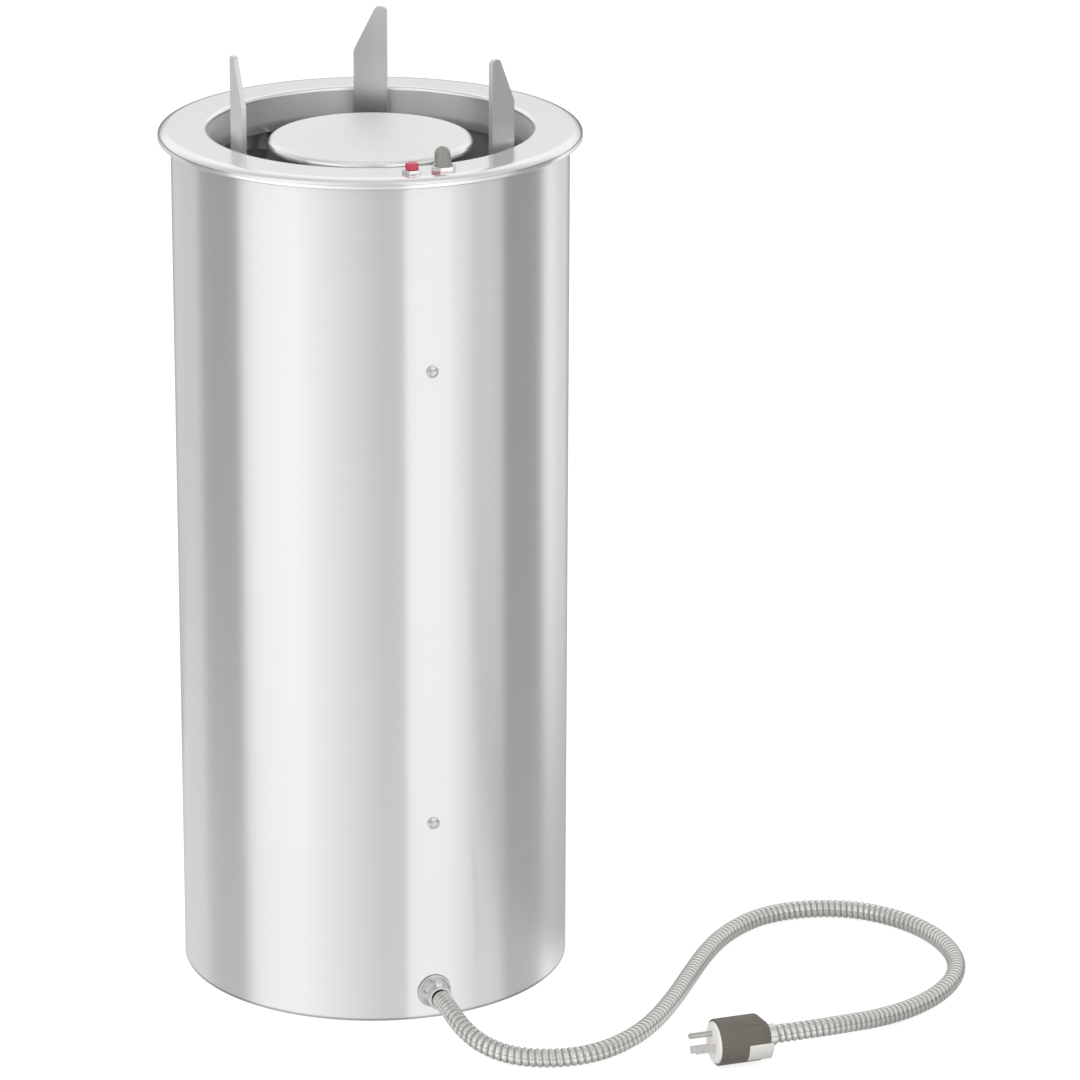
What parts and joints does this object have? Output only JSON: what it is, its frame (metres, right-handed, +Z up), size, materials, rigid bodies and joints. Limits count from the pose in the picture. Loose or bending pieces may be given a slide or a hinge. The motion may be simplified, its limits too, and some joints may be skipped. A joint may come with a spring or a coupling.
{
  "type": "heated plate dispenser",
  "caption": "Drop-in heated plate dispenser: round insulated well, sprung self-levelling plate carrier, swinging guides, toggle, lamp and ribbed conduit lead with plug.",
  "frame": {"origin": "on the floor, on the axis of the round well", "axes": "+Z up along the well's axis, -Y towards the lamp, the toggle and the lead, +X to the right of someone who faces them"},
  "size_m": [0.6423, 0.5245, 0.802],
  "materials": {
    "shroud_steel": "brushed stainless sheet, grain running round",
    "polished_steel": "stainless sheet, bright finish",
    "galvanised_sheet": "galvanised sheet, dull",
    "zinc_hardware": "zinc plated, smooth",
    "rod_steel": "ground bright bar",
    "guide_steel": "stainless bar, fine grain along its length",
    "spring_steel": "drawn wire, lightly oiled",
    "cast_carrier": "cast, as cast skin",
    "bush_bronze": "sintered bronze, oiled",
    "nylon": "natural nylon",
    "stop_rubber": "black rubber",
    "mineral_wool": "mineral wool batt",
    "element_sheath": "heat darkened sheath",
    "phenolic": "moulded phenolic",
    "stat_body": "moulded ceramic and plated cup",
    "lead_black": "wire covering",
    "lead_red": "wire covering",
    "lead_white": "wire covering",
    "bright_nut": "nickel plated, bright",
    "chrome_bezel": "chrome plated",
    "lever_metal": "plated, bright",
    "boot_rubber": "grey silicone, satin",
    "lamp_housing": "moulded nylon",
    "lamp_red": "clear red moulding",
    "conduit_metal": "wound ribbed strip, satin",
    "plug_shell": "dark shell, faintly streaked",
    "plug_face": "off-white moulding",
    "plated_contacts": "nickel plated brass"
  },
  "bodies": {
    "housing": {"outer_shroud": "shroud_steel", "top_flange": "polished_steel", "inner_liner": "galvanised_sheet", "insulation": "mineral_wool", "base_ring": "galvanised_sheet", "base_pan": "galvanised_sheet", "base_screws": "zinc_hardware", "well_floor": "galvanised_sheet", "heating_element": "element_sheath", "element_clips": "zinc_hardware", "thermostat": "stat_body", "terminal_block": "phenolic", "supply_leads": "lead_black", "element_leads": "lead_red", "riser_leads": "lead_white", "wiring_raceway": "galvanised_sheet", "raceway_screws": "zinc_hardware", "rod_brackets": "galvanised_sheet", "guide_rods": "rod_steel", "rod_nuts": "zinc_hardware", "lift_springs": "spring_steel", "upper_spring_plugs": "nylon", "stop_bumpers": "stop_rubber", "pivot_brackets": "galvanised_sheet", "pivot_rods": "rod_steel", "pivot_nuts": "zinc_hardware", "switch_body": "phenolic", "switch_nut": "zinc_hardware", "boot_nut": "bright_nut", "lamp_body": "lamp_housing", "lamp_bezel": "chrome_bezel", "lamp_lens": "lamp_red", "conduit_connector": "zinc_hardware", "connector_locknut": "zinc_hardware", "connector_screw": "zinc_hardware", "conduit": "conduit_metal", "plug_shell": "plug_shell", "plug_face": "plug_face", "plug_blades": "plated_contacts", "ground_pin": "plated_contacts", "plug_ferrule": "zinc_hardware"},
    "carrier": {"plate_disc": "polished_steel", "disc_hub": "cast_carrier", "carrier_post": "cast_carrier", "carrier_spider": "cast_carrier", "rod_bushes": "bush_bronze", "lower_spring_plugs": "nylon", "foot_screws": "zinc_hardware"},
    "toggle": {"toggle_lever": "lever_metal", "toggle_boot": "boot_rubber"},
    "guide_1": {"guide_bar_1": "guide_steel", "guide_arms_1": "guide_steel", "arm_bushes_1": "bush_bronze"},
    "guide_2": {"guide_bar_2": "guide_steel", "guide_arms_2": "guide_steel", "arm_bushes_2": "bush_bronze"},
    "guide_3": {"guide_bar_3": "guide_steel", "guide_arms_3": "guide_steel", "arm_bushes_3": "bush_bronze"}
  },
  "joints": [
    {"name": "carrier_slide", "type": "slide", "parent": "housing", "child": "carrier", "axis": [0, 0, -1], "range_m": [0, 0.43], "stiffness_N_per_m": 780, "springref_m": -0.05, "deforming": ["lift_springs"]},
    {"name": "guide_1_swing", "type": "hinge", "parent": "housing", "child": "guide_1", "pos_m": [0.01845, 0.13035, 0.36], "axis": [0, 0, -1], "range_deg": [0, 30]},
    {"name": "guide_2_swing", "type": "hinge", "parent": "housing", "child": "guide_2", "pos_m": [-0.12211, -0.0492, 0.36], "axis": [0, 0, -1], "range_deg": [0, 30]},
    {"name": "guide_3_swing", "type": "hinge", "parent": "housing", "child": "guide_3", "pos_m": [0.10366, -0.08115, 0.36], "axis": [0, 0, -1], "range_deg": [0, 30]},
    {"name": "toggle_throw", "type": "hinge", "parent": "housing", "child": "toggle", "pos_m": [0.0132, -0.15399, 0.728], "axis": [1, 0, 0], "range_deg": [0, 24]}
  ]
}
